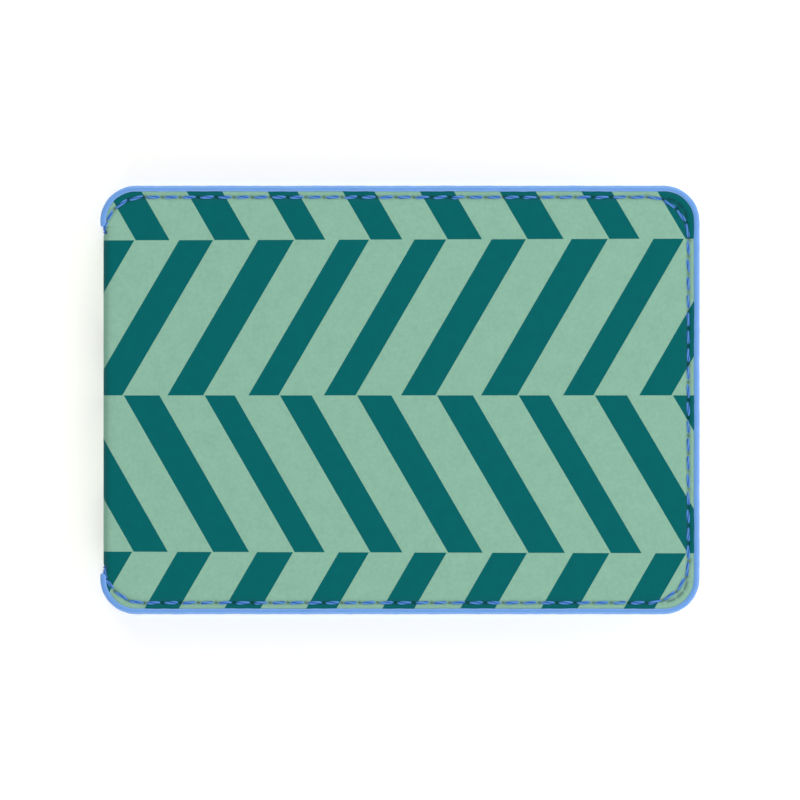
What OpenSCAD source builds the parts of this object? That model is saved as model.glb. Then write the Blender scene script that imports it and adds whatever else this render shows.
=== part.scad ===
// Bifold card holder, lying closed on its back cover.
// X runs from the fold to the free edge, Y along the fold, and Z from the back cover to the front cover.
// Each cover is drawn once with its outer face down; the front cover is that half turned face up.

/* [Overall] */
// Closed width, from the corners beside the fold to the free edge
holder_w = 104; // [102:0.5:120]
// Height along the fold
holder_h = 74.4; // [74:0.2:90]
// Corner radius of both covers
corner_r = 6.25; // [5:0.25:8]
// How far the fold stands back from the corners beside it
fold_recess = 0.55; // [0.45:0.05:0.7]
// Gap left between the two halves when closed
closed_gap = 0.3; // [0.3:0.1:2]

/* [Cover layers] */
// Thickness of the printed outer leather
leather_t = 0.9; // [0.8:0.1:1.2]
// Thickness of the stiffener board
board_t = 0.4; // [0.3:0.1:0.8]
// Thickness of the lining
lining_t = 0.2; // [0.2:0.1:0.5]

/* [Card pockets] */
// Height of the room for one card
slot_t = 0.8; // [0.8:0.05:1.2]
// Thickness of the upper and middle pocket strips
strip_t = 0.4; // [0.4:0.1:0.6]
// Thickness of the lower pocket panel
panel_t = 0.5; // [0.4:0.1:0.8]
// Mouth of the lower pocket, measured up from the middle of the cover
lower_mouth = 4; // [2:0.5:5]
// Step from one pocket mouth to the next
mouth_step = 8; // [6:0.5:8.5]
// Width of the sewn-down hem at the bottom of a strip
hem_w = 2; // [1.5:0.1:3]
// Width of the flat sewn margin round the pockets, from the outer edge
margin_w = 4.5; // [4.4:0.1:5]
// Width of the slope from the sewn margin up to a pocket
slope_w = 2.4; // [1.5:0.1:2.6]

/* [Edge and seam] */
// Width of the painted edge
edge_w = 1; // [0.8:0.1:1.3]
// Distance from the outer edge to the middle of the seam
seam_inset = 2.05; // [2:0.05:2.4]
// Radius of the seam's turn at the corners
seam_r = 7.2; // [6.8:0.1:7.6]
// Diameter of the thread
thread_d = 0.6; // [0.4:0.05:0.7]
// Length of one visible stitch
stitch_l = 2.4; // [1.8:0.1:2.6]
// Distance from one stitch to the next
stitch_pitch = 3.15; // [3:0.05:4]

/* [Hidden] */
$fn = 48;

leather_colour = "#8cbda5";
board_colour = "#b9a888";
lining_colour = "#5d8fe0";
pocket_colour = "#5b8bdc";
edge_colour = "#84b4f0";
thread_colour = "#3f78d2";

// Heights inside one half, from its outer face
board_z = leather_t;
lining_z = board_z + board_t;
floor_z = lining_z + lining_t;
upper_z = floor_z + slot_t;
middle_z = upper_z + strip_t + slot_t;
lower_z = middle_z + strip_t + slot_t;
half_t = lower_z + panel_t;
total_t = 2 * half_t + closed_gap;
margin_z = floor_z + panel_t;

// Outline of a cover
edge_x = holder_w / 2;
edge_y = holder_h / 2;
corner_y = edge_y - corner_r;
upper_mouth = lower_mouth + 2 * mouth_step;

// The fold: the spine turns about the middle of the leather at each cover
hinge_gap = 0.05;
end_gap = 0.3;
fold_x = fold_recess - edge_x;
hinge_r = leather_t / 2;
hinge_x = fold_x + hinge_r;
lining_x = fold_x + 1.85;
spine_y = corner_y - 0.45;
spine_bare_y = spine_y - edge_w;

// Card room between the sewn margins, for a card of 85.6 x 53.98 mm
card_h = 53.98;
card_head_gap = 1.6;
fold_margin_x = fold_x + 3.05;
fold_margin_w = 2.4;
slope_x0 = fold_margin_x + fold_margin_w;
slope_x1 = edge_x - margin_w;
slope_y0 = margin_w - edge_y;
room_x0 = slope_x0 + slope_w;
room_x1 = slope_x1 - slope_w;
room_y0 = slope_y0 + slope_w;
upper_stop = edge_y - card_head_gap - card_h;
middle_stop = (upper_stop + room_y0) / 2;

// Solids of one sheet stand this far apart, so that each stays a plain convex solid
joint_gap = 0.02;

// Seam line round a cover, which meets the spine's seam at the fold, and the groove for its stitches
thread_r = thread_d / 2;
groove_w = thread_d + 0.3;
spine_seam_y = spine_bare_y - 0.45;
seam_x1 = edge_x - seam_inset;
seam_y = edge_y - seam_inset;
turn_y = seam_y - seam_r;
turn_x0 = fold_x + sqrt(seam_r ^ 2 - (spine_seam_y - turn_y) ^ 2);
turn_x1 = seam_x1 - seam_r;
seam_x0 = turn_x0 - seam_r;

// Stitches along a straight line from a to b, each as [x, y, direction]
function row(a, b, n) = [
    for (i = [0:n - 1]) concat(a + (b - a) * (i + 0.5) / n, atan2(b[1] - a[1], b[0] - a[0]))
];
// Stitches round an arc about c, from angle a0 to angle a1
function turn(c, a0, a1, n) = [
    for (i = [0:n - 1])
        let (t = a0 + (a1 - a0) * (i + 0.5) / n)
        [c[0] + seam_r * cos(t), c[1] + seam_r * sin(t), t + 90]
];
function stitches_in(l) = round(l / stitch_pitch);

turn_n = stitches_in(seam_r * PI / 2);
cover_seam = concat(
    turn([turn_x0, turn_y], 90 + 180 / turn_n, 90, 2),
    row([turn_x0, seam_y], [turn_x1, seam_y], stitches_in(turn_x1 - turn_x0)),
    turn([turn_x1, turn_y], 90, 0, turn_n),
    row([seam_x1, turn_y], [seam_x1, -turn_y], stitches_in(2 * turn_y)),
    turn([turn_x1, -turn_y], 0, -90, turn_n),
    row([turn_x1, -seam_y], [turn_x0, -seam_y], stitches_in(turn_x1 - turn_x0)),
    turn([turn_x0, -turn_y], -90, -90 - 180 / turn_n, 2)
);
fold_side_x = fold_margin_x + fold_margin_w / 2;
fold_side_row = row(
    [fold_side_x, room_y0], [fold_side_x, upper_mouth - 1],
    stitches_in(upper_mouth - 1 - room_y0)
);
function hem_row(stop) = row(
    [room_x0 + 1, stop - hem_w / 2], [room_x1 - 1, stop - hem_w / 2],
    stitches_in(room_x1 - room_x0 - 2)
);

// A stitch on the inside lies on the pocket margin where there is one, and on the lining elsewhere
function on_margin(p) = p[0] > fold_margin_x - stitch_l / 2 && p[1] < upper_mouth + stitch_l / 2;
function inside_z(p) = on_margin(p) ? margin_z : floor_z;

module rounded_outline(w, h, r) {
    square([w - 2 * r, h], center = true);
    square([w, h - 2 * r], center = true);
    for (x = [-1, 1], y = [-1, 1])
        translate([x * (w / 2 - r), y * (h / 2 - r)]) circle(r);
}

// The cover's outline, moved in by inset
module cover_outline(inset) {
    rounded_outline(holder_w - 2 * inset, holder_h - 2 * inset, corner_r - inset);
}

// The cover's outline inside its painted edge, from x on
module inner_outline(x) {
    intersection() {
        cover_outline(edge_w);
        translate([x, -edge_y]) square([holder_w, holder_h]);
    }
}

// The seam line's outline, moved out by spread
module seam_outline(spread) {
    translate([(seam_x0 + seam_x1) / 2, 0])
        rounded_outline(seam_x1 - seam_x0 + 2 * spread, 2 * (seam_y + spread), seam_r + spread);
}

// Turns a half drawn with its outer face down into the front half
module front_half() {
    translate([0, 0, total_t]) mirror([0, 0, 1]) children();
}

// A half-round thread that lies on z = 0
module stitch() {
    difference() {
        rotate([0, 90, 0]) cylinder(h = stitch_l, r = thread_r, center = true);
        translate([-stitch_l, -thread_d, -thread_d]) cube([2 * stitch_l, 2 * thread_d, thread_d]);
    }
}

module stitch_at(p, z) {
    translate([p[0], p[1], z]) rotate([0, 0, p[2]]) stitch();
}

// One half of the printed leather, with its seam groove and the hollow that the spine turns in
module shell_half() {
    hollow_r = hinge_r + hinge_gap;
    hollow_l = 2 * (spine_y + end_gap);
    difference() {
        linear_extrude(leather_t) cover_outline(edge_w);
        translate([hinge_x, 0, hinge_r]) rotate([90, 0, 0])
            cylinder(h = hollow_l, r = hollow_r, center = true);
        translate([hinge_x - hollow_r, -hollow_l / 2, hinge_r])
            cube([2 * hollow_r, hollow_l, leather_t]);
        translate([0, 0, -leather_t]) linear_extrude(leather_t + thread_r) difference() {
            seam_outline(groove_w / 2);
            seam_outline(-groove_w / 2);
        }
    }
}

module board_half() {
    translate([0, 0, board_z]) linear_extrude(board_t) inner_outline(fold_margin_x);
}

module lining_half() {
    translate([0, 0, lining_z]) linear_extrude(lining_t) inner_outline(lining_x);
}

// Paint on the cut edge, open at the fold and higher where the pockets are sewn in
module edge_outline() {
    difference() {
        cover_outline(0);
        cover_outline(edge_w);
        translate([-edge_x - 1, -corner_y]) square([3, 2 * corner_y]);
    }
}

module edge_paint_half() {
    linear_extrude(floor_z) edge_outline();
    linear_extrude(margin_z) intersection() {
        edge_outline();
        translate([fold_margin_x, -edge_y - 1]) square([holder_w, edge_y + 1 + upper_mouth]);
    }
}

module seam_stitching_half() {
    for (p = cover_seam) {
        translate([0, 0, thread_r]) mirror([0, 0, 1]) stitch_at(p, 0);
        stitch_at(p, inside_z(p));
    }
}

module pocket_stitching_half() {
    for (p = fold_side_row) stitch_at(p, margin_z);
    for (p = hem_row(upper_stop)) stitch_at(p, upper_z + strip_t - thread_r);
    for (p = hem_row(middle_stop)) stitch_at(p, middle_z + strip_t - thread_r);
}

// A pocket's section across the cover, raised to top between its sloping sides
module raised_across(y0, y1, top) {
    translate([0, y1, 0]) rotate([90, 0, 0]) linear_extrude(y1 - y0) polygon([
        [slope_x0, floor_z], [slope_x1, floor_z], [slope_x1, margin_z],
        [room_x1, top], [room_x0, top], [slope_x0, margin_z]
    ]);
}

// Cuts its children down to the stretch from x0 to x1 and from y0 to y1
module cut_to(x0, x1, y0, y1) {
    intersection() {
        children();
        translate([x0, y0, 0]) cube([x1 - x0, y1 - y0, total_t]);
    }
}

// The lower pocket's raised shape, closed by a slope at the bottom as well
module lower_raised() {
    intersection() {
        raised_across(slope_y0, lower_mouth, half_t);
        translate([slope_x0, 0, 0]) rotate([90, 0, 90]) linear_extrude(slope_x1 - slope_x0) polygon([
            [slope_y0, floor_z], [lower_mouth, floor_z], [lower_mouth, half_t],
            [room_y0, half_t], [slope_y0, margin_z]
        ]);
    }
}

// A raised sheet over the card room, from y0 to y1, with its underside at z0
module sheet(y0, y1, z0, t) {
    translate([room_x0 + joint_gap, y0, z0]) cube([room_x1 - room_x0 - 2 * joint_gap, y1 - y0, t]);
}

// Flat sewn margin inside the painted edge, cut to a stretch of the cover
module margin(x0, x1, y0, y1) {
    translate([0, 0, floor_z]) linear_extrude(panel_t) intersection() {
        cover_outline(edge_w);
        translate([x0, y0]) square([x1 - x0, y1 - y0]);
    }
}

module side_margins(y0, y1) {
    margin(fold_margin_x, slope_x0 - joint_gap, y0, y1);
    margin(slope_x1 + joint_gap, edge_x, y0, y1);
}

// Full-width lower panel, sewn in along the fold side, the bottom and the free side
module lower_pocket_half() {
    sheet(room_y0 + joint_gap, lower_mouth, lower_z, panel_t);
    cut_to(slope_x0, room_x0, slope_y0, lower_mouth) lower_raised();
    cut_to(room_x1, slope_x1, slope_y0, lower_mouth) lower_raised();
    cut_to(room_x0 + joint_gap, room_x1 - joint_gap, slope_y0, room_y0) lower_raised();
    side_margins(-edge_y, lower_mouth);
    margin(slope_x0, slope_x1, -edge_y, slope_y0 - joint_gap);
}

// T-shaped strip: side tabs from tab_y up to its mouth, and a hem sewn to the lining below stop
module strip_pocket_half(z0, stop, tab_y, mouth) {
    tab_y0 = tab_y + joint_gap;
    top = z0 + strip_t;
    sheet(stop, mouth, z0, strip_t);
    sheet(stop - hem_w, stop - joint_gap, floor_z, top - thread_r - floor_z);
    cut_to(slope_x0, room_x0, tab_y0, mouth) raised_across(tab_y0, mouth, top);
    cut_to(room_x1, slope_x1, tab_y0, mouth) raised_across(tab_y0, mouth, top);
    side_margins(tab_y0, mouth);
}

module upper_pocket_half() {
    strip_pocket_half(upper_z, upper_stop, lower_mouth + mouth_step, upper_mouth);
}

module middle_pocket_half() {
    strip_pocket_half(middle_z, middle_stop, lower_mouth, lower_mouth + mouth_step);
}

module shell_back() { color(leather_colour) shell_half(); }
module board_back() { color(board_colour) board_half(); }
module lining_back() { color(lining_colour) lining_half(); }
module upper_pocket_back() { color(pocket_colour) upper_pocket_half(); }
module middle_pocket_back() { color(pocket_colour) middle_pocket_half(); }
module lower_pocket_back() { color(pocket_colour) lower_pocket_half(); }
module edge_paint_back() { color(edge_colour) edge_paint_half(); }
module seam_stitching_back() { color(thread_colour) seam_stitching_half(); }
module pocket_stitching_back() { color(thread_colour) pocket_stitching_half(); }

module shell_front() { color(leather_colour) front_half() shell_half(); }
module board_front() { color(board_colour) front_half() board_half(); }
module lining_front() { color(lining_colour) front_half() lining_half(); }
module upper_pocket_front() { color(pocket_colour) front_half() upper_pocket_half(); }
module middle_pocket_front() { color(pocket_colour) front_half() middle_pocket_half(); }
module lower_pocket_front() { color(pocket_colour) front_half() lower_pocket_half(); }
module edge_paint_front() { color(edge_colour) front_half() edge_paint_half(); }
module seam_stitching_front() { color(thread_colour) front_half() seam_stitching_half(); }
module pocket_stitching_front() { color(thread_colour) front_half() pocket_stitching_half(); }

// A stretch of leather over the fold, with a round edge on each hinge line
module spine_leather(y0, y1) {
    translate([fold_x, y0, hinge_r]) cube([leather_t, y1 - y0, total_t - leather_t]);
    for (z = [hinge_r, total_t - hinge_r])
        translate([hinge_x, y1, z]) rotate([90, 0, 0]) cylinder(h = y1 - y0, r = hinge_r);
}

// A stretch of lining inside the spine, as high as the covers' own linings let it be
module spine_lining(y0, y1) {
    translate([fold_x + leather_t, y0, lining_z])
        cube([lining_t, y1 - y0, total_t - 2 * lining_z]);
}

module shell_spine() {
    color(leather_colour) difference() {
        spine_leather(-spine_bare_y, spine_bare_y);
        for (y = [-spine_seam_y, spine_seam_y])
            translate([fold_x - leather_t, y - groove_w / 2, -1])
                cube([leather_t + thread_r, groove_w, total_t + 2]);
    }
}

module lining_spine() {
    color(lining_colour) spine_lining(-spine_bare_y, spine_bare_y);
}

module edge_paint_spine() {
    color(edge_colour) for (ends = [[-spine_y, -spine_bare_y], [spine_bare_y, spine_y]]) {
        spine_leather(ends[0], ends[1]);
        spine_lining(ends[0], ends[1]);
    }
}

module seam_stitching_spine() {
    color(thread_colour) for (y = [-spine_seam_y, spine_seam_y], i = [-1, 0, 1])
        translate([0, y, total_t / 2 + i * stitch_pitch]) {
            translate([fold_x + thread_r, 0, 0]) rotate([0, -90, 0]) stitch();
            translate([fold_x + leather_t + lining_t, 0, 0]) rotate([0, 90, 0]) stitch();
        }
}

shell_back();
board_back();
lining_back();
upper_pocket_back();
middle_pocket_back();
lower_pocket_back();
edge_paint_back();
seam_stitching_back();
pocket_stitching_back();
shell_spine();
lining_spine();
edge_paint_spine();
seam_stitching_spine();
shell_front();
board_front();
lining_front();
upper_pocket_front();
middle_pocket_front();
lower_pocket_front();
edge_paint_front();
seam_stitching_front();
pocket_stitching_front();
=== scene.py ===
import math

import bmesh
import bpy
import numpy as np
from mathutils import Matrix, Vector
from mathutils.geometry import delaunay_2d_cdt


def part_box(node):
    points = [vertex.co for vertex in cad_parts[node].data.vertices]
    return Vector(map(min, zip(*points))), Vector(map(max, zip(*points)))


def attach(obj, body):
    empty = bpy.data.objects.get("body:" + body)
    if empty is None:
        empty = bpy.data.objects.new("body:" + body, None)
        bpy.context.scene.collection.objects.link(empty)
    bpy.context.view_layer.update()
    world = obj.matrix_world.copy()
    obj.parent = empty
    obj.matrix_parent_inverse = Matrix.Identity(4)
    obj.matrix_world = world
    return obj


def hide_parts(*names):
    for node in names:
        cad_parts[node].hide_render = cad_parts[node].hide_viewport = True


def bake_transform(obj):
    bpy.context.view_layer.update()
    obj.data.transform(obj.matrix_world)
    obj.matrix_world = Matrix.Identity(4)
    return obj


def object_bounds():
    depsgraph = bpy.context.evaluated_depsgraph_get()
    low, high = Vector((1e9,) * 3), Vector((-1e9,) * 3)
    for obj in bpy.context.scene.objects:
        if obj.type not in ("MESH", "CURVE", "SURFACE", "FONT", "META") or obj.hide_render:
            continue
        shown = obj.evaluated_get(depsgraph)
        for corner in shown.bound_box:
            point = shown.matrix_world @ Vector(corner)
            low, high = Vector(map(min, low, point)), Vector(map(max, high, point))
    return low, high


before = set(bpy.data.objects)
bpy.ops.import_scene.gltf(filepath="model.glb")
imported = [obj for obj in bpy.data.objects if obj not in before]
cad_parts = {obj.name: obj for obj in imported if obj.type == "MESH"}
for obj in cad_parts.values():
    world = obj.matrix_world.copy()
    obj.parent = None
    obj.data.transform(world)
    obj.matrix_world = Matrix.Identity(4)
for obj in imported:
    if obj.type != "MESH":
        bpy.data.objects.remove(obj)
cad_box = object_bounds()

# A bifold card holder, lying closed on its back cover. Each half is built once, as points (x, y, h) with h
# the height above its own outer face, and the front half is that half turned over. Lengths are in
# millimetres, and new_piece() turns them into metres.
MM = 0.001
HALVES = ("back", "front")


def low(node):
    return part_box(node)[0] / MM


def high(node):
    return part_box(node)[1] / MM


# Sizes of the frame
edge_x, edge_y, total_t = cad_box[1] / MM
fold_x = low("shell_spine").x
edge_w = edge_y - high("shell_back").y
leather_t = low("board_back").z
board_t = high("board_back").z - leather_t
lining_z = low("lining_back").z
floor_z = high("lining_back").z
lining_t = floor_z - lining_z
margin_z = high("edge_paint_back").z
board_x = low("board_back").x
margin_x = low("lower_pocket_back").x
mouths = {name: high(name + "_pocket_back").y for name in ("upper", "middle", "lower")}
tops = {name: high(name + "_pocket_back").z for name in mouths}

# Outline and seam
corner_r = 6.25
tuck = 0.05  # how far the leather runs in under the painted edge
dip_w = 0.35  # how wide a strip of the leather dips beside the painted edge
dip_depth = 0.16
tip_l = 0.4  # how far the painted edge's round tips reach
thread_r = 0.29
hole_gap = 1.55  # from the middle of a stitch to its needle holes
ear_stitch_l = 1.15  # half the length of the stitches on the corners beside the fold
stitch_turn = math.radians(22.5)  # from one stitch to the next round a corner of the seam
seam_r = 7.2
seam_x1 = high("seam_stitching_back").x - thread_r
seam_y = high("seam_stitching_back").y - thread_r
spine_seam_y = high("seam_stitching_spine").y - thread_r
turn_y = seam_y - seam_r
turn_x0 = fold_x + math.sqrt(seam_r**2 - (spine_seam_y - turn_y) ** 2)
turn_x1 = seam_x1 - seam_r

# The leather's turn into the spine: the fold pieces start at split_x, and the corners stay flat beside them
bend_r = 1.5
bend_x = fold_x + bend_r
split_x = bend_x + 0.35
bend_l = math.pi / 2 * (bend_r - leather_t / 2)
spine_s = bend_x - bend_l - (total_t / 2 - bend_r)
fold_edge_x = bend_x - 0.9  # where the fold's own painted edge starts
strip_y = 30.0
corner_end_y = strip_y + 0.02

# How deep stitches pull each surface in, and how deep their needle holes are
leather_sewing = (0.2, 0.34)
lining_sewing = (0.08, 0.1)
pocket_sewing = (0.12, 0.2)

# Card pockets
panel_t = 0.5
strip_t = 0.4
sewn_w = 4.5  # the flat margin that is sewn down round the pockets
slope_x0 = margin_x + 2.4
slope_x1 = edge_x - sewn_w
slope_y0 = sewn_w - edge_y
slope_w = 2.4
hem_w = 2.0
lip_y = 2.1  # from a pocket's mouth down to the crease of its turned edge

# The crease pressed round both corners of the free edge, outside the seam, in dashes
crease_inset = 2.25
crease_dashes = np.radians((18, 45, 72))
crease_half = math.radians(9.5)
crease_depth = 0.13

# Printed chevron: bands of slanted stripes that lean the other way from one band to the next
band_h = 27.13
band_y = 0.8
stripe_slope = 0.581
stripe_start = -46.47
stripe_shift = -7.63
stripe_repeat = 54.52
stripes = ((0.0, 5.96), (13.85, 6.25), (28.0, 5.23), (41.12, 5.52))
growth_x = 1.07e-4  # how much larger the print is for each millimetre to the right
growth_y = -1.42e-4  # and for each millimetre up
print_turn = math.radians(64)  # the print is straight from above until the fold has turned this far

rng = np.random.default_rng(11)


def step(a, b, x):
    """Rises smoothly from 0 at a to 1 at b."""
    t = np.clip((x - a) / (b - a), 0, 1)
    return t * t * (3 - 2 * t)


def hill(x, w):
    return np.exp(-((x / w) ** 2))


# ---------------------------------------------------------------- paths and plans

ARC_STEPS = 22
LONG_STEPS = 196
SIDE_STEPS = 128
SPINE_STEPS = 23
BEND_STEPS = 14


def c_path(x0, x1, cy, r):
    """Points from the top corner beside the fold, round the free edge, to the bottom corner beside the fold.
    Paths about the same corner centres match point for point."""
    arcs = ((x0, cy, 180), (x1, cy, 90), (x1, -cy, 0), (x0, -cy, -90))
    steps = (LONG_STEPS, SIDE_STEPS, LONG_STEPS)
    path = []
    for i, (cx, y, start) in enumerate(arcs):
        a = np.radians(start - np.linspace(0, 90, ARC_STEPS + 1))
        arc = np.stack([cx + r * np.cos(a), y + r * np.sin(a)], axis=1)
        if path:
            path.append(np.linspace(path[-1][-1], arc[0], steps[i - 1] + 1)[1:-1])
        path.append(arc)
    return np.concatenate(path)


def edge_path(inset):
    """The cover's outline, moved in by inset."""
    centre_x = edge_x - corner_r
    return c_path(-centre_x, centre_x, edge_y - corner_r, corner_r - inset)


def seam_path(inset):
    """The seam line, moved in by inset."""
    return c_path(turn_x0, turn_x1, turn_y, seam_r - inset)


def inside_seam(points):
    """How far points lie inside the seam line's closed outline, with a minus sign outside it."""
    x, y = points.T
    over_x = np.maximum(x - turn_x1, turn_x0 - x)
    over_y = np.abs(y) - turn_y
    outside = np.hypot(np.maximum(over_x, 0), np.maximum(over_y, 0))
    return seam_r - outside - np.minimum(np.maximum(over_x, over_y), 0)


def kept_inside(points, outline, gap):
    """The points that lie inside an outline and at least gap from it."""
    kept = []
    ends = np.roll(outline, -1, axis=0)
    for part in np.array_split(points, 1 + len(points) // 2000):
        x, y = part[:, :1], part[:, 1:]
        crosses = (outline[:, 1] > y) != (ends[:, 1] > y)
        rise = np.where(ends[:, 1] == outline[:, 1], 1, ends[:, 1] - outline[:, 1])
        at = outline[:, 0] + (y - outline[:, 1]) / rise * (ends[:, 0] - outline[:, 0])
        inside = (crosses & (x < at)).sum(axis=1) % 2 == 1
        side = ends - outline
        to = part[:, None] - outline
        along = np.clip((to * side).sum(-1) / (side**2).sum(-1), 0, 1)
        far = np.linalg.norm(to - along[..., None] * side, axis=-1).min(axis=1)
        kept.append(part[inside & (far > gap)])
    return np.concatenate(kept)


def triangulated(outline, inner, gap=0.07):
    """A plan of triangles inside an outline, as its points and its faces."""
    points = np.concatenate([outline, kept_inside(inner, outline, gap)])
    rim = [list(range(len(outline)))]
    found = delaunay_2d_cdt([Vector(p) for p in points], [], rim, 1, 1e-5)
    return np.array([p[:] for p in found[0]]), [tuple(f) for f in found[2]]


def lattice(xs, ys):
    return np.stack(np.meshgrid(xs, ys, indexing="ij"), axis=-1).reshape(-1, 2)


def both_ways(values):
    values = np.array(values)
    return np.unique(np.concatenate([-values, values]))


# Places along the fold, close together at the seam that runs round its ends
STRIP_YS = both_ways(
    list(strip_y - np.array([0, 0.12, 0.28, 0.44, 0.6, 0.75, 0.9, 1.05, 1.2, 1.35, 1.6, 2.0, 2.6]))
    + list(np.linspace(0, 26, 27))
)
SEAM_RINGS = (-0.45, -0.3, -0.15, 0, 0.15, 0.3, 0.45, 0.75, 1.2, 1.9)


def cover_outline():
    """A cover's flat outline inside its painted edge, cut off where the fold pieces start."""
    edge = edge_path(edge_w - tuck)
    end_x = np.linspace(edge[0, 0], split_x, 5)
    end = np.stack([end_x, np.full(5, corner_end_y)], axis=1)
    split = np.stack([np.full(len(STRIP_YS), split_x), STRIP_YS], axis=1)
    return np.concatenate([edge, end * [1, -1], split, end[::-1]])[::-1]


def cover_plan():
    """Close points along the edge, the corner creases, the seam and the fold, and wide ones between."""
    edge, seam = edge_path(edge_w - tuck), seam_path(0)
    rings = [edge + (seam - edge) * k for k in (0.14, 0.3)]
    rings += [seam_path(inset) for inset in SEAM_RINGS]
    creases = np.concatenate([edge_path(crease_inset + offset) for offset in (-0.3, -0.15, 0, 0.1)])
    rings.append(creases[inside_seam(creases) < SEAM_RINGS[0] - 0.08])
    inner = lattice(np.arange(-48, edge_x, 2.0), np.arange(-36, 37, 2.0))
    inner = inner[inside_seam(inner) > SEAM_RINGS[-1] + 0.7]
    beside = lattice([split_x + 0.4, split_x + 1.0], STRIP_YS)
    beside = beside[inside_seam(beside) > SEAM_RINGS[-1] + 0.3]
    return triangulated(cover_outline(), np.concatenate(rings + [beside, inner]))


def fold_plan():
    """A grid over the leather from a cover to the middle of the spine, in unrolled lengths."""
    spine = np.linspace(spine_s, bend_x - bend_l, SPINE_STEPS + 1)[:-1]
    bend = np.linspace(bend_x - bend_l, bend_x, BEND_STEPS + 1)
    ss = np.concatenate([spine, bend, [split_x]])
    points = lattice(ss, STRIP_YS)
    rows, n = len(ss), len(STRIP_YS)
    faces = [
        (i * n + j, (i + 1) * n + j, (i + 1) * n + j + 1, i * n + j + 1)
        for i in range(rows - 1)
        for j in range(n - 1)
    ]
    return points, faces


def flat(x, y, h):
    return np.stack([x, y, h], axis=-1)


def round_fold(s, y, h):
    """Bends unrolled points: flat on the cover, then round the bend, then up the spine."""
    turned = np.clip((bend_x - s) / bend_l, 0, 1) * (math.pi / 2)
    beyond = np.maximum(bend_x - bend_l - s, 0)
    r = bend_r - h
    x = np.maximum(s, bend_x) - r * np.sin(turned)
    return np.stack([x, y, bend_r - r * np.cos(turned) + beyond], axis=-1)


# ---------------------------------------------------------------- meshes


def solid(plan, lower, upper, shape=flat):
    """A closed solid over a plan, between a lower and an upper height at each of its points."""
    points, faces = plan
    count = len(points)
    x, y = points.T
    lower, upper = np.broadcast_to(lower, count), np.broadcast_to(upper, count)
    vertices = np.concatenate([shape(x, y, lower), shape(x, y, upper)])
    edges = [(f[i - 1], f[i]) for f in faces for i in range(len(f))]
    known = set(edges)
    walls = [(a, b, b + count, a + count) for a, b in edges if (b, a) not in known]
    below = [f[::-1] for f in faces]
    above = [tuple(i + count for i in f) for f in faces]
    return vertices, below + above + walls


def tube(rings):
    """A closed tube through rings of points, with its two ends capped."""
    count, around = rings.shape[:2]
    faces = []
    for start in range(0, (count - 1) * around, around):
        for j in range(around):
            after = (j + 1) % around
            faces.append((start + j, start + after, start + around + after, start + around + j))
    last = (count - 1) * around
    faces.append(tuple(range(around))[::-1])
    faces.append(tuple(range(last, last + around)))
    return rings.reshape(-1, 3), faces


def joined(parts):
    """Several (vertices, faces) as one."""
    faces, start = [], 0
    for vertices, part_faces in parts:
        faces += [tuple(i + start for i in f) for f in part_faces]
        start += len(vertices)
    return np.concatenate([p[0] for p in parts]), faces


def new_piece(name, geometry, half, material, place, shade=None):
    """A mesh object. place is where each vertex lies in its material, and shade is how much painted shade
    darkens it there.
    """
    vertices, faces = geometry
    vertices = np.array(vertices)
    if half == "front":
        vertices[:, 2] = total_t - vertices[:, 2]
        faces = [f[::-1] for f in faces]
    mesh = bpy.data.meshes.new(name)
    mesh.from_pydata((vertices * MM).tolist(), [], faces)
    mesh.shade_smooth()
    mesh.set_sharp_from_angle(angle=math.radians(48))
    places = np.array(place, float).ravel()
    mesh.attributes.new("place", "FLOAT_VECTOR", "POINT").data.foreach_set("vector", places)
    shade = np.zeros(len(vertices)) if shade is None else shade
    mesh.attributes.new("shade", "FLOAT", "POINT").data.foreach_set("value", shade)
    mesh.materials.append(material)
    piece = bpy.data.objects.new(name, mesh)
    bpy.context.scene.collection.objects.link(piece)
    return piece


def dress(piece, slot, *nodes):
    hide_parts(*nodes)
    return piece


def bend_with(piece, half):
    """Bakes a fold piece's transform into its mesh, for either half."""
    if half == "front":
        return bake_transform(piece)
    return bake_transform(piece)


# ---------------------------------------------------------------- stitches


def stitches(node):
    """Each stitch of a CAD node, as the middle of its flat side, its direction and the way it faces."""
    mesh = bmesh.new()
    mesh.from_mesh(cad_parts[node].data)
    bmesh.ops.remove_doubles(mesh, verts=mesh.verts, dist=1e-7)
    mesh.verts.index_update()
    seen, found = set(), []
    for first in mesh.verts:
        if first.index in seen:
            continue
        seen.add(first.index)
        island = [first]
        for vert in island:
            for edge in vert.link_edges:
                other = edge.other_vert(vert)
                if other.index not in seen:
                    seen.add(other.index)
                    island.append(other)
        found.append(stitch_place(np.array([vert.co[:] for vert in island]) / MM))
    mesh.free()
    return sorted(found, key=lambda s: [round(float(v), 2) for v in s[0]])


def stitch_place(points):
    middle = (points.max(0) + points.min(0)) / 2
    around = points - points.mean(0)
    along, across, facing = np.linalg.svd(around, full_matrices=False)[2]
    wide = (around @ across) ** 2
    if ((wide - wide.mean()) * (around @ facing)).sum() > 0:
        facing = -facing
    heights = (points - middle) @ facing
    return middle + facing * heights.min(), along, facing


def in_half(places, half):
    """Stitch places in a half's own coordinates."""
    if half == "back":
        return places
    turn = np.array([1, 1, -1])
    return [(p * turn + [0, 0, total_t], a * turn, f * turn) for p, a, f in places]


def outer_stitches(half):
    """The seam's stitches on a cover's outer face, in its half's own coordinates."""
    return [p for p in in_half(stitches("seam_stitching_" + half), half) if p[2][2] < 0]


def ear_stitches(half):
    """The last stitch of a cover's seam at both ends of the fold, one further round than the CAD's."""
    made = []
    for side in (1, -1):
        last = min((p for p in outer_stitches(half) if p[0][1] * side > 0), key=lambda p: p[0][0])
        centre = np.array([turn_x0, side * turn_y, last[0][2]])
        turn = np.array(Matrix.Rotation(side * stitch_turn, 3, "Z"))
        made.append((centre + turn @ (last[0] - centre), turn @ last[1], last[2]))
    return made


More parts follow.
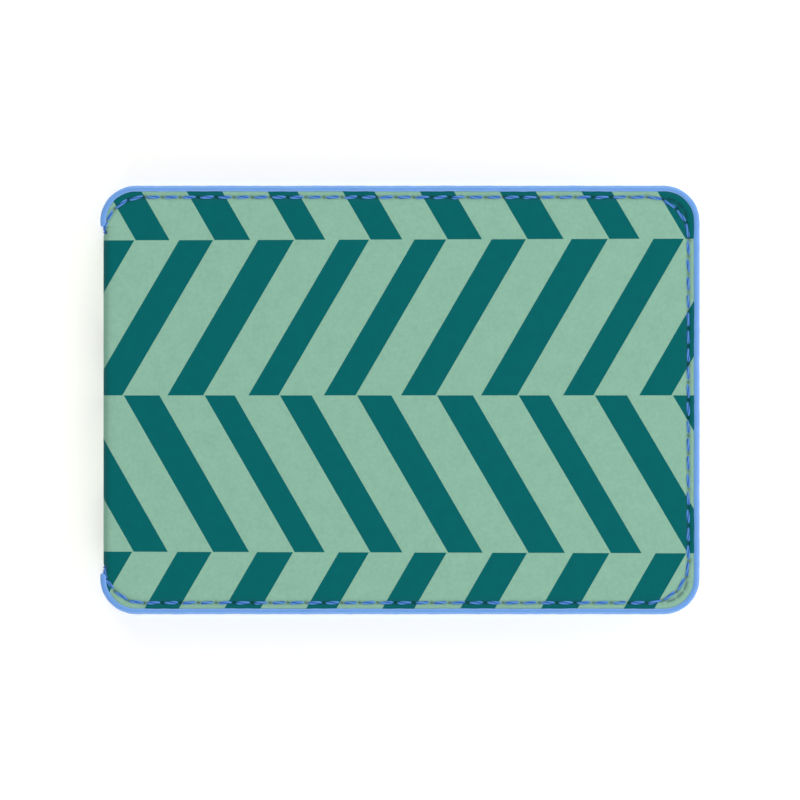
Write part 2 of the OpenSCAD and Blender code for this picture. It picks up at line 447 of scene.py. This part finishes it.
def fold_stitches():
    """The stitch from a cover's seam round the bend to the spine's seam, at both ends of the fold, with half
    its length."""
    made = []
    for side in (1, -1):
        on_cover = np.array([fold_x + 0.48, side * 30.85, 0.05])
        on_spine = np.array([fold_x + 0.2, side * spine_seam_y, 0.95])
        length = np.linalg.norm(on_spine - on_cover)
        along = (on_spine - on_cover) / length
        facing = np.array([-0.75, 0, -0.66])
        facing -= along * (along @ facing)
        made.append(((on_cover + on_spine) / 2, along, facing / np.linalg.norm(facing), length / 2))
    return made


def sewn(points, places, channel, hole):
    """How far a sewn surface is pulled in at points, and how much painted shade darkens it there. Each stitch
    draws a channel along itself, and its needle holes draw a dimple at both ends; the painted shade lies in
    the channel and the holes."""
    line = np.full(len(points), 9.0)
    end = np.full(len(points), 9.0)
    for middle, along, facing in places:
        to = points - middle
        to = to - np.outer(to @ facing, facing)
        t = to @ along
        beside = to - np.outer(np.clip(t, -hole_gap, hole_gap), along)
        line = np.minimum(line, np.linalg.norm(beside, axis=1))
        for side in (-hole_gap, hole_gap):
            end = np.minimum(end, np.linalg.norm(to - side * along, axis=1))
    pull = channel * hill(line, 0.42) + hole * hill(end, 0.27)
    # Painted shade: darker along each stitch's channel and in its needle holes
    return pull, np.maximum(0.45 * hill(line, 0.4), hill(end, 0.3))


def creased(points):
    """1 along the dashes pressed round the corners of the free edge, falling to 0 beside them."""
    x, y = points.T
    to = np.stack([x - (edge_x - corner_r), np.abs(y) - (edge_y - corner_r)])
    r = corner_r - crease_inset
    across = np.hypot(*to) - r
    angle = np.arctan2(to[1], to[0])
    beyond = np.min([np.abs(angle - dash) for dash in crease_dashes], axis=0) - crease_half
    return hill(across, 0.24) * hill(np.maximum(beyond, 0) * r, 0.2)


RINGS_A_STITCH = 13
SIDES_A_STITCH = 12
PLIES = 3


def thread_stitch(middle, along, facing, half_l=hole_gap - 0.12):
    """One twisted stitch, which comes up out of its needle hole and goes down into the next."""
    yaw = math.radians(rng.normal(5, 2))
    side = np.cross(facing, along)
    along, side = along * math.cos(yaw) + side * math.sin(yaw), side * math.cos(yaw) - along * math.sin(yaw)
    phase = rng.uniform(0, 2 * math.pi)
    proud = rng.uniform(0.02, 0.06)
    angle = np.linspace(0, 2 * math.pi, SIDES_A_STITCH, endpoint=False)
    rings = []
    for t in np.linspace(-1, 1, RINGS_A_STITCH):
        lobes = 1 + 0.12 * np.cos(PLIES * angle - phase - 4.2 * t)
        r = thread_r * (1 - 0.22 * abs(t) ** 4) * lobes
        centre = middle + along * half_l * t + facing * (proud - 0.62 * abs(t) ** 5)
        rings.append(centre + np.outer(r * np.cos(angle), side) + np.outer(r * np.sin(angle), facing))
    places = [[half_l * t, a, phase] for t in np.linspace(-1, 1, RINGS_A_STITCH) for a in angle]
    return tube(np.array(rings)), places


def thread_piece(name, places, node, half="back"):
    """Stitches in thread, as one piece that stands for a CAD node."""
    made = [thread_stitch(*place) for place in places]
    place = np.concatenate([m[1] for m in made])
    return dress(new_piece(name, joined([m[0] for m in made]), half, thread, place), "thread", node)


def make_cover_threads(half):
    seam, pocket = "seam_stitching_" + half, "pocket_stitching_" + half
    on_ears = [(*place, ear_stitch_l) for place in in_half(ear_stitches(half), half)]
    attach(thread_piece("seam_thread_" + half, stitches(seam) + on_ears, seam), half + "_cover")
    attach(thread_piece("pocket_thread_" + half, stitches(pocket), pocket), half + "_cover")
    bend_with(thread_piece("fold_thread_" + half, fold_stitches(), "seam_stitching_spine", half), half)


# ---------------------------------------------------------------- materials


def srgb(r, g, b):
    """A colour given in 0-255 display values, as the linear colour that shaders take."""
    shares = (r / 255, g / 255, b / 255)
    linear = [v / 12.92 if v <= 0.04045 else ((v + 0.055) / 1.055) ** 2.4 for v in shares]
    return (*linear, 1)


class Graph:
    """Writes one material's nodes. Each method returns the output that holds its result."""

    def __init__(self, name, **sockets):
        self.material = bpy.data.materials.new(name)
        self.material.use_nodes = True
        self.tree = self.material.node_tree
        self.shader = self.tree.nodes["Principled BSDF"]
        for socket, value in sockets.items():
            self.shader.inputs[socket.replace("_", " ")].default_value = value

    def node(self, kind, inputs, **settings):
        node = self.tree.nodes.new("ShaderNode" + kind)
        for name, value in settings.items():
            setattr(node, name, value)
        for key, value in inputs.items():
            self.feed(node.inputs[key], value)
        return node

    def feed(self, socket, value):
        if isinstance(value, bpy.types.NodeSocket):
            self.tree.links.new(value, socket)
        else:
            socket.default_value = value

    def place(self):
        return self.node("Attribute", {}, attribute_name="place").outputs["Vector"]

    def shade(self):
        return self.node("Attribute", {}, attribute_name="shade").outputs["Fac"]

    def math(self, operation, *values):
        return self.node("Math", dict(enumerate(values)), operation=operation).outputs[0]

    def stretched(self, vector, scale):
        inputs = {0: vector, 1: scale}
        return self.node("VectorMath", inputs, operation="MULTIPLY").outputs[0]

    def noise(self, vector, scale, detail=3.0):
        inputs = {"Vector": vector, "Scale": scale, "Detail": detail}
        return self.node("TexNoise", inputs).outputs["Fac"]

    def cells(self, vector, scale):
        inputs = {"Vector": vector, "Scale": scale}
        return self.node("TexVoronoi", inputs, feature="SMOOTH_F1").outputs["Distance"]

    def fit(self, value, a, b, c, d):
        """Takes a value from the range a to b to the range c to d."""
        inputs = {"Value": value, "From Min": a, "From Max": b, "To Min": c, "To Max": d}
        return self.node("MapRange", inputs).outputs[0]

    def mix(self, factor, a, b):
        node = self.node("Mix", {"Factor": factor}, data_type="RGBA")
        self.feed(node.inputs[6], a)
        self.feed(node.inputs[7], b)
        return node.outputs[2]

    def finish(self, colour, roughness, height, depth):
        """Feeds the shader: its colour, its roughness, and a bump of the given depth in millimetres."""
        self.feed(self.shader.inputs["Base Color"], colour)
        self.feed(self.shader.inputs["Roughness"], roughness)
        bump = self.node("Bump", {"Height": height, "Distance": depth * MM})
        self.feed(self.shader.inputs["Normal"], bump.outputs[0])
        return self.material


def leather_grain(g, place):
    """Fine pebble grain with pores, from 0 to 1."""
    pebble = g.cells(place, 1.7)
    fine = g.noise(place, 4.5, 4.0)
    return g.math("MULTIPLY_ADD", fine, 0.35, g.math("MULTIPLY", pebble, 0.75))


def chevron(g, place):
    """1 on the dark stripes of the print and 0 between them."""
    x, y = g.node("SeparateXYZ", {0: place}).outputs[:2]
    scale = g.math("MULTIPLY_ADD", x, -growth_x, g.math("MULTIPLY_ADD", y, -growth_y, 1.0))
    x, y = g.math("MULTIPLY", x, scale), g.math("MULTIPLY", y, scale)
    band = g.math("DIVIDE", g.math("SUBTRACT", y, band_y), band_h)
    number = g.math("FLOOR", band)
    odd = g.math("PINGPONG", number, 1.0)
    rise = g.math("MULTIPLY", g.math("SUBTRACT", g.math("FRACT", band), 0.5), band_h * stripe_slope)
    lean = g.math("MULTIPLY_ADD", odd, 2.0, -1.0)
    start = g.math("MULTIPLY_ADD", odd, -stripe_shift, -stripe_start)
    along = g.math("ADD", g.math("MULTIPLY_ADD", rise, lean, x), start)
    wrapped = g.math("WRAP", along, stripe_repeat, 0.0)
    on_stripes = [g.math("COMPARE", wrapped, offset + width / 2, width / 2) for offset, width in stripes]
    dark = on_stripes[0]
    for on_stripe in on_stripes[1:]:
        dark = g.math("ADD", dark, on_stripe)
    return dark


def make_printed_leather():
    g = Graph("printed_leather", Specular_IOR_Level=0.07)
    place = g.place()
    mint = g.mix(g.noise(place, 0.35, 5.0), srgb(150, 196, 172), srgb(138, 184, 162))
    teal = g.mix(g.noise(place, 0.5, 4.0), srgb(0, 97, 99), srgb(0, 104, 106))
    colour = g.mix(chevron(g, place), mint, teal)
    grain = leather_grain(g, place)
    colour = g.mix(g.fit(grain, 0.2, 0.8, 0.0, 0.1), colour, srgb(10, 84, 80))
    # Painted shade: the shade attribute darkens the print towards srgb(20, 45, 70) in the sewn channels and
    # needle holes, the corner creases, beside the painted edge and round the fold
    colour = g.mix(g.math("MULTIPLY", g.shade(), 0.6), colour, srgb(20, 45, 70))
    return g.finish(colour, g.fit(grain, 0.2, 0.8, 0.5, 0.66), grain, 0.02)


def make_edge_paint():
    g = Graph("edge_paint", Specular_IOR_Level=0.45, Coat_Weight=0.15, Coat_Roughness=0.25)
    place = g.place()
    blots = g.noise(place, 0.45, 4.0)
    colour = g.mix(blots, srgb(105, 158, 228), srgb(116, 168, 236))
    height = g.math("ADD", g.math("MULTIPLY", blots, 0.7), g.math("MULTIPLY", g.noise(place, 3.0, 3.0), 0.3))
    return g.finish(colour, g.fit(blots, 0.3, 0.7, 0.34, 0.46), height, 0.05)


def make_thread():
    """Twisted thread: place.x runs along a stitch, place.y is the angle round it, place.z its start."""
    g = Graph("thread", Specular_IOR_Level=0.35, Sheen_Weight=0.25, Sheen_Roughness=0.4)
    place = g.place()
    split = g.node("SeparateXYZ", {0: place}).outputs
    turn = g.math("MULTIPLY_ADD", split[1], float(PLIES), g.math("MULTIPLY", split[0], -3.0))
    ply = g.math("MULTIPLY_ADD", g.math("COSINE", g.math("SUBTRACT", turn, split[2])), 0.5, 0.5)
    fibre = g.noise(g.stretched(place, (2.0, 9.0, 1.0)), 1.6, 3.0)
    light = g.mix(fibre, srgb(62, 128, 214), srgb(96, 158, 232))
    # Painted shade: the thread is darker, towards srgb(30, 82, 162), in the grooves between its plies
    colour = g.mix(g.fit(ply, 0.0, 0.6, 0.0, 1.0), srgb(30, 82, 162), light)
    height = g.math("MULTIPLY_ADD", fibre, 0.4, g.math("MULTIPLY", ply, 0.6))
    return g.finish(colour, g.fit(fibre, 0.3, 0.7, 0.55, 0.75), height, 0.06)


def make_lining():
    """Fine twill: diagonal ribs crossed by the threads of the weft."""
    g = Graph("lining_fabric", Specular_IOR_Level=0.2, Sheen_Weight=0.3, Sheen_Roughness=0.5)
    place = g.place()
    split = g.node("SeparateXYZ", {0: place}).outputs
    wobble = g.math("MULTIPLY", g.noise(place, 1.2, 2.0), 1.6)
    rib = g.math("SINE", g.math("ADD", g.math("MULTIPLY", g.math("ADD", split[0], split[1]), 13.0), wobble))
    weft = g.math("SINE", g.math("MULTIPLY", g.math("SUBTRACT", split[0], split[1]), 26.0))
    weave = g.math("MULTIPLY_ADD", weft, 0.15, g.math("MULTIPLY_ADD", rib, 0.35, 0.5))
    patches = g.noise(place, 0.25, 4.0)
    base = g.mix(patches, srgb(58, 104, 188), srgb(72, 118, 200))
    colour = g.mix(g.fit(weave, 0.1, 0.9, 0.5, 0.0), base, srgb(26, 56, 124))
    return g.finish(colour, g.fit(weave, 0.0, 1.0, 0.85, 0.7), weave, 0.05)


def make_pocket_leather():
    g = Graph("pocket_leather", Specular_IOR_Level=0.4)
    place = g.place()
    grain = leather_grain(g, place)
    patches = g.noise(place, 0.2, 4.0)
    colour = g.mix(patches, srgb(84, 134, 218), srgb(98, 148, 228))
    colour = g.mix(g.fit(grain, 0.2, 0.8, 0.0, 0.42), colour, srgb(48, 90, 172))
    # Painted shade: the shade attribute darkens the pockets towards srgb(20, 46, 110) in their sewn channels
    # and needle holes and along the creases below their mouths
    colour = g.mix(g.math("MULTIPLY", g.shade(), 0.7), colour, srgb(20, 46, 110))
    return g.finish(colour, g.fit(grain, 0.2, 0.8, 0.42, 0.6), grain, 0.06)


def make_board():
    """Grey pulp board with darker flecks and pressed fibres, in object space because it never bends."""
    g = Graph("board", Specular_IOR_Level=0.2)
    place = g.stretched(g.node("TexCoord", {}).outputs["Object"], (1000.0, 1000.0, 1000.0))
    fibres = g.noise(g.stretched(place, (0.6, 3.0, 3.0)), 1.0, 5.0)
    flecks = g.fit(g.noise(place, 1.8, 2.0), 0.62, 0.72, 0.0, 0.6)
    colour = g.mix(flecks, g.mix(fibres, srgb(172, 156, 128), srgb(196, 182, 154)), srgb(104, 92, 74))
    return g.finish(colour, g.fit(fibres, 0.3, 0.7, 0.8, 0.95), fibres, 0.04)


# ---------------------------------------------------------------- outer leather and lining


def print_at(s):
    """How far along the print a place s lies, as the bend stretches it on its outer face."""
    turned = np.clip((bend_x - s) / bend_l, 0, 1) * (math.pi / 2)
    beyond = np.maximum(bend_x - bend_l * print_turn / (math.pi / 2) - s, 0)
    return np.maximum(s, bend_x) - bend_r * np.sin(np.minimum(turned, print_turn)) - beyond


def unrolled(s, half):
    """Where a place lies on the one printed sheet, which runs from the front over the spine to the back."""
    return print_at(s) if half == "front" else 2 * print_at(spine_s) - print_at(s)


def make_cover_leather(half, plan):
    """The printed leather of one cover, with its sewn channel, and its edge tucked under the paint."""
    points = plan[0]
    x, y = points.T
    count = len(points)
    outer = flat(x, y, np.zeros(count))
    pull, painted_shade = sewn(outer, outer_stitches(half) + ear_stitches(half), *leather_sewing)
    under = np.maximum(0, dip_w - edge_distance(points)) / dip_w
    crease = creased(points)
    pull = pull + dip_depth * under**2 + crease_depth * crease
    # Painted shade in the pressed dashes of the corner crease
    painted_shade = np.maximum(painted_shade, crease)
    print_place = np.stack([unrolled(x, half), y, np.zeros(count)], axis=-1)
    # Painted shade also darkens the strip that dips under the painted edge, and the inner face, hidden
    # between the layers, is painted fully shaded
    piece = new_piece(
        "cover_leather_" + half,
        solid(plan, pull, leather_t),
        half,
        printed_leather,
        np.tile(print_place, (2, 1)),
        np.concatenate([np.maximum(painted_shade, 0.4 * under), np.ones(count)]),
    )
    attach(dress(piece, "printed_leather", "shell_" + half), half + "_cover")


def edge_distance(points):
    """How far points lie inside the leather's edge."""
    over_x = np.abs(points[:, 0]) - (edge_x - corner_r)
    over_y = np.abs(points[:, 1]) - (edge_y - corner_r)
    outside = np.hypot(np.maximum(over_x, 0), np.maximum(over_y, 0))
    return corner_r - outside - np.minimum(np.maximum(over_x, over_y), 0) - (edge_w - tuck)


def make_fold_leather(half, plan):
    """The same sheet from a cover round the bend to the middle of the spine, with painted shade that darkens
    it from the bend on.
    """
    points = plan[0]
    s, y = points.T
    count = len(points)
    outer = round_fold(s, y, np.zeros(count))
    places = [p for p in in_half(stitches("seam_stitching_spine"), half) if p[2][0] < 0]
    pull, painted_shade = sewn(outer, places, *leather_sewing)
    # Painted shade round the bend, which stays on up the spine
    painted_shade = np.maximum(painted_shade, 0.28 * step(0.15, 0.5, (bend_x - s) / bend_l))
    print_place = np.stack([unrolled(s, half), y, np.zeros(count)], axis=-1)
    # The inner face, hidden between the layers, is painted fully shaded
    piece = new_piece(
        "fold_leather_" + half,
        solid(plan, pull, leather_t, round_fold),
        half,
        printed_leather,
        np.tile(print_place, (2, 1)),
        np.concatenate([painted_shade, np.ones(count)]),
    )
    bend_with(dress(piece, "printed_leather", "shell_spine"), half)


def lining_low(x):
    """The lining lies on the board, and comes down to the leather beside the fold, where the board stops."""
    return leather_t + board_t * step(split_x + 0.1, board_x, x)


def make_cover_lining(half, plan):
    points = plan[0]
    x, y = points.T
    places = [p for p in in_half(stitches("seam_stitching_" + half), half) if p[2][2] > 0]
    pull, painted_shade = sewn(flat(x, y, np.zeros(len(x))), places, *lining_sewing)
    lower = lining_low(x)
    place = np.stack([x, y, np.zeros(len(x))], axis=-1)
    piece = new_piece(
        "cover_lining_" + half,
        solid(plan, lower, lower + lining_t - pull * step(board_x, board_x + 1, x)),
        half,
        lining_fabric,
        np.tile(place, (2, 1)),
        np.tile(painted_shade, 2),
    )
    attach(dress(piece, "lining_fabric", "lining_" + half), half + "_cover")
    return piece


def make_fold_lining(half, plan):
    points = plan[0]
    place = np.tile(flat(*points.T, np.zeros(len(points))), (2, 1))
    geometry = solid(plan, leather_t, leather_t + lining_t, round_fold)
    piece = new_piece("fold_lining_" + half, geometry, half, lining_fabric, place)
    return bend_with(dress(piece, "lining_fabric", "lining_spine"), half)


# ---------------------------------------------------------------- painted edges


def waver(along, seed, size):
    """A slow, slight unevenness along a hand-painted edge."""
    phases = np.random.default_rng(seed).uniform(0, 2 * math.pi, 4)
    waves = [np.sin(along * k + p) for k, p in zip((0.31, 0.83, 1.7, 3.1), phases)]
    return size * sum(waves) / 4


def bead_section(height):
    """A painted edge's section, as distance in from the edge and height: round outside, and lapping on the
    leather."""
    a = np.linspace(math.pi / 2, -math.pi / 2, 13)
    half_w, power = 0.56, 2 / 2.6
    d = half_w - half_w * np.cos(a) ** power
    h = height / 2 - (height / 2 + 0.03) * np.sign(np.sin(a)) * np.abs(np.sin(a)) ** power
    lap, brow = edge_w + 0.02, edge_w - 0.1
    inner = [(brow, height + 0.01), (lap, height - 0.05), (lap, height / 2), (lap, 0.08), (brow, -0.02)]
    return np.concatenate([np.stack([d, h], axis=1), inner])


def bead_height(points):
    """As high as the layers that it seals: leather and lining at the fold, then board, then pockets too."""
    x, y = points.T
    on_board = board_t * step(bend_x, board_x, x)
    on_pockets = (margin_z - floor_z) * step(margin_x - 0.5, margin_x + 0.5, x)
    on_pockets = on_pockets * (1 - step(mouths["upper"] - 0.5, mouths["upper"] + 0.5, y))
    return leather_t + lining_t + 0.04 + on_board + on_pockets


def make_painted_edge(half):
    """The bead of paint round three sides of a cover, with a round tip at both ends beside the fold."""
    edge = edge_path(0)
    inward = edge - edge_path(-1)
    tip = np.array([edge[0, 0], corner_end_y + tip_l])
    edge = np.concatenate([[tip], edge, [tip * [1, -1]]])
    inward = np.concatenate([[[1, 0]], inward, [[1, 0]]])
    along = np.concatenate([[0], np.cumsum(np.linalg.norm(np.diff(edge, axis=0), axis=1))])
    seed = HALVES.index(half)
    rings = []
    for i, height in enumerate(bead_height(edge)):
        section = bead_section(height)
        section = section * [1 + waver(along[i], seed, 0.05), 1]
        section[:, 0] += waver(along[i], seed + 5, 0.04) + 0.02
        xy = edge[i] + np.outer(section[:, 0], inward[i])
        rings.append(np.column_stack([xy, section[:, 1]]))
    rings = with_round_ends(rings, np.array([0, -1, 0]), np.array([0, 1, 0]), tip_l)
    geometry = tube(rings)
    piece = new_piece("painted_edge_" + half, geometry, half, edge_paint, geometry[0])
    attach(dress(piece, "edge_paint", "edge_paint_" + half), half + "_cover")


def with_round_ends(rings, before, after, reach):
    """Closes a row of rings with a round cap at both ends, which point towards before and after."""
    caps = np.radians([90, 78, 60, 40, 20])
    first = [shrunk(rings[0], math.cos(a)) + before * reach * math.sin(a) for a in caps]
    last = [shrunk(rings[-1], math.cos(a)) + after * reach * math.sin(a) for a in caps[::-1]]
    return np.array(first + list(rings) + last)


def shrunk(ring, share):
    middle = ring.mean(0)
    return middle + (ring - middle) * max(share, 0.02)


def make_fold_edge(half):
    """The thin painted ends of the leather and lining where they turn into the spine."""
    ss = np.unique(fold_sheet[0][:, 0])
    ss = ss[ss < fold_edge_x]
    angle = np.linspace(0, 2 * math.pi, 14, endpoint=False)
    thick = leather_t + lining_t
    tubes = []
    for side in (-1, 1):
        rings = []
        for s in ss:
            bulge = 0.34 + waver(s, 9 + side, 0.03)
            y = side * (strip_y + bulge * np.abs(np.cos(angle)) ** 0.8 * np.sign(np.cos(angle)))
            h = thick / 2 - (thick / 2 + 0.03) * side * np.abs(np.sin(angle)) ** 0.8 * np.sign(np.sin(angle))
            rings.append(round_fold(np.full(len(angle), s), y, h))
        tubes.append(tube(np.array(rings)))
    geometry = joined(tubes)
    piece = new_piece("painted_fold_edge_" + half, geometry, half, edge_paint, geometry[0])
    bend_with(dress(piece, "edge_paint", "edge_paint_spine"), half)


# ---------------------------------------------------------------- card pockets


def pocket_outline(x0, y0, y1):
    """The part of the cover inside its painted edge that lies past x0 and between y0 and y1, to the right."""
    edge = edge_path(edge_w)
    edge = edge[(edge[:, 0] > x0 + 0.05) & (edge[:, 1] > y0 + 0.02) & (edge[:, 1] < y1 - 0.02)]
    right = edge_x - edge_w
    bottom = [] if y0 > slope_y0 else [(x0, edge[edge[:, 1] < 0][-1, 1])]
    start = [(x0, y1), (right, y1)]
    end = bottom or [(right, y0), (x0, y0)]
    return np.array([*start, *edge, *end])[::-1]


def filled(outline, longest):
    """An outline with points added so that none of its sides is over a given length."""
    points = []
    for a, b in zip(outline, np.roll(outline, -1, axis=0)):
        count = max(1, math.ceil(np.linalg.norm(b - a) / longest))
        points += list(np.linspace(a, b, count + 1)[:-1])
    return np.array(points)


def near(*places, offsets):
    return [p + o for p in places for o in offsets]


def pocket_plan(outline, mouth):
    """Close points at the mouth, on the slopes and along the seam, and wide ones between."""
    slopes = np.arange(0, slope_w + 0.1, 0.3)
    lips = np.array([0.04, 0.1, 0.18, 0.28, 0.42, 0.7, 1.3, 1.75, 1.95, 2.1, 2.25, 2.45, 3])
    side_xs = near(slope_x0, slope_x1 - slope_w, offsets=slopes)
    row_xs = near(margin_x + 1.2, offsets=(-1.15, -1.08, -0.95, -0.6, -0.4, -0.2, 0, 0.2, 0.4, 0.7))
    xs = np.unique(np.round(np.concatenate([side_xs, row_xs, np.arange(-43, 45, 2.0)]), 3))
    ys = np.concatenate([mouth - lips, slope_y0 + slopes, np.arange(-29, mouth - 3.4, 1.6)])
    inner = lattice(xs, np.unique(np.round(ys, 3)))
    inner = inner[inside_seam(inner) > 0.7]
    rings = [seam_path(inset) for inset in (-0.42, -0.2, 0, 0.2, 0.42)]
    return triangulated(filled(outline, 0.6), np.concatenate([inner, *rings]), 0.025)


def strip_outline(x0, mouth, tab_y, stop):
    """A T-shaped strip: tabs sewn in on both sides above tab_y, and a stem that runs down to its hem."""
    tabs = pocket_outline(x0, tab_y, mouth)
    left, right = slope_x0 + slope_w, slope_x1 - slope_w
    stem = [(left, tab_y), (left, stop - hem_w), (right, stop - hem_w), (right, tab_y)]
    corner = [i for i, p in enumerate(tabs) if np.allclose(p, (x0, tab_y))][0]
    return np.concatenate([tabs[: corner + 1], stem, tabs[corner + 1 :]])


def pocket_surfaces(points, top, sheet_t, mouth, stop, places):
    """The lower and upper heights of a pocket, and its painted shade."""
    x, y = points.T
    raised = step(slope_x0, slope_x0 + slope_w, x) * (1 - step(slope_x1 - slope_w, slope_x1, x))
    if stop is None:
        raised = raised * step(slope_y0, slope_y0 + slope_w, y)
    upper = margin_z + (top - margin_z) * raised
    pull, painted_shade = sewn(flat(x, y, upper), places, *pocket_sewing)
    fold = mouth - y
    crease = hill(fold - lip_y, 0.16)
    upper = upper - pull - 0.1 * crease + 0.1 * (1 - step(0, 6, fold)) * (1 - raised)
    lower = np.maximum(floor_z, margin_z + (top - margin_z) * raised - sheet_t)
    if stop is not None:
        hem = 1 - step(stop - 0.35, stop, y)
        upper = upper - thread_r * hem
        lower = lower + (floor_z - lower) * hem
    middle = (upper + lower) / 2
    lip = np.minimum(fold, x - margin_x) / (sheet_t / 2)
    rounding = np.sqrt(np.clip(1 - (1 - np.clip(lip, 0, 1)) ** 2, 0.02, 1))
    # Painted shade along the crease below the mouth, and in the sewn channels and needle holes
    pocket_shade = np.maximum(painted_shade, 0.75 * crease)
    return middle + (lower - middle) * rounding, middle + (upper - middle) * rounding, pocket_shade


def make_pocket(half, name, below, sheet_t, stop):
    """One card pocket. A strip's side tabs stop at below, the mouth of the next pocket down, and its hem
    starts at stop. The lowest pocket is a panel and has neither."""
    mouth = mouths[name]
    if stop is None:
        outline = pocket_outline(margin_x, -edge_y, mouth)
    else:
        outline = strip_outline(margin_x, mouth, below + 0.02, stop)
    plan = pocket_plan(outline, mouth)
    sewn_in = stitches("seam_stitching_" + half) + stitches("pocket_stitching_" + half)
    places = [p for p in in_half(sewn_in, half) if p[2][2] > 0 and abs(p[0][2] - margin_z) < 0.1]
    lower, upper, pocket_shade = pocket_surfaces(plan[0], tops[name], sheet_t, mouth, stop, places)
    geometry = solid(plan, lower, upper)
    grain_shift = (0 if half == "back" else 200) + mouth * 3  # no two pockets have the same grain
    place, pocket_shade = geometry[0] + grain_shift, np.tile(pocket_shade, 2)
    piece = new_piece(name + "_card_pocket_" + half, geometry, half, pocket_leather, place, pocket_shade)
    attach(dress(piece, "pocket_leather", name + "_pocket_" + half), half + "_cover")


# ---------------------------------------------------------------- stage


def make_floor():
    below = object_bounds()[0].z - 0.01 * MM
    bpy.ops.mesh.primitive_plane_add(size=6, location=(0, 0, below))
    floor = bpy.context.object
    floor.name = "floor"
    g = Graph("floor", Specular_IOR_Level=0.0, Emission_Color=(1, 1, 1, 1), Emission_Strength=0.4)
    place = g.node("TexCoord", {}).outputs["Object"]
    colour = g.mix(g.noise(place, 3.0), srgb(242, 240, 232), srgb(244, 242, 234))
    floor.data.materials.append(g.finish(colour, 0.9, g.noise(place, 400.0), 0.0))


def make_light(name, azimuth, elevation, size, power):
    a, e = math.radians(azimuth), math.radians(elevation)
    away = Vector((math.cos(a) * math.cos(e), math.sin(a) * math.cos(e), math.sin(e)))
    lamp = bpy.data.lights.new(name, "AREA")
    lamp.size = size
    lamp.energy = power
    light = bpy.data.objects.new(name, lamp)
    light.location = away * 1.0
    light.rotation_euler = away.to_track_quat("Z", "Y").to_euler()
    bpy.context.scene.collection.objects.link(light)


def make_studio():
    """Soft boxes all round and pale walls, so that the shadow is faint, with a dark ceiling, so that nothing
    bright stands over the cover."""
    for azimuth, power in ((90, 6.6), (0, 5.3), (180, 0.8), (270, 6.1)):
        make_light(f"soft_box_{azimuth}", azimuth, 36, 0.9, power)
    world = bpy.data.worlds.new("studio")
    world.use_nodes = True
    nodes, links = world.node_tree.nodes, world.node_tree.links
    direction = nodes.new("ShaderNodeTexCoord")
    split = nodes.new("ShaderNodeSeparateXYZ")
    fade = nodes.new("ShaderNodeMapRange")
    for socket, value in (("From Min", 0.1), ("From Max", 0.6), ("To Min", 0.54), ("To Max", 0.03)):
        fade.inputs[socket].default_value = value
    links.new(direction.outputs["Generated"], split.inputs[0])
    links.new(split.outputs[2], fade.inputs["Value"])
    links.new(fade.outputs[0], nodes["Background"].inputs["Strength"])
    nodes["Background"].inputs["Color"].default_value = (1, 1, 1, 1)
    bpy.context.scene.world = world
    bpy.context.scene.view_settings.view_transform = "Standard"


def make_camera():
    """Straight above the closed holder, with a long lens."""
    seen_w = 138.67
    camera = bpy.data.cameras.new("camera")
    camera.lens = 400
    camera.sensor_width = 36
    away = seen_w / 2 * camera.lens / (camera.sensor_width / 2)
    camera.clip_start = 0.01
    camera.clip_end = 20
    holder = bpy.data.objects.new("camera", camera)
    holder.location = (0, 0, (total_t + away) * MM)
    bpy.context.scene.collection.objects.link(holder)
    bpy.context.scene.camera = holder


# ---------------------------------------------------------------- assembly

make_camera()
printed_leather = make_printed_leather()
edge_paint = make_edge_paint()
thread = make_thread()
lining_fabric = make_lining()
pocket_leather = make_pocket_leather()
board = make_board()

cover_sheet = cover_plan()
fold_sheet = fold_plan()
hem_stops = {name: low(name + "_pocket_back").y + hem_w for name in ("upper", "middle")}

for half in HALVES:
    make_cover_leather(half, cover_sheet)
    make_fold_leather(half, fold_sheet)
    make_cover_lining(half, cover_sheet)
    make_fold_lining(half, fold_sheet)
    make_painted_edge(half)
    make_fold_edge(half)
    make_pocket(half, "upper", mouths["middle"], strip_t, hem_stops["upper"])
    make_pocket(half, "middle", mouths["lower"], strip_t, hem_stops["middle"])
    make_pocket(half, "lower", None, panel_t, None)
    make_cover_threads(half)
    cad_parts["board_" + half].data.materials.clear()
    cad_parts["board_" + half].data.materials.append(board)
spine_seam = "seam_stitching_spine"
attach(thread_piece("seam_thread_spine", stitches(spine_seam), spine_seam), "spine")

make_floor()
make_studio()
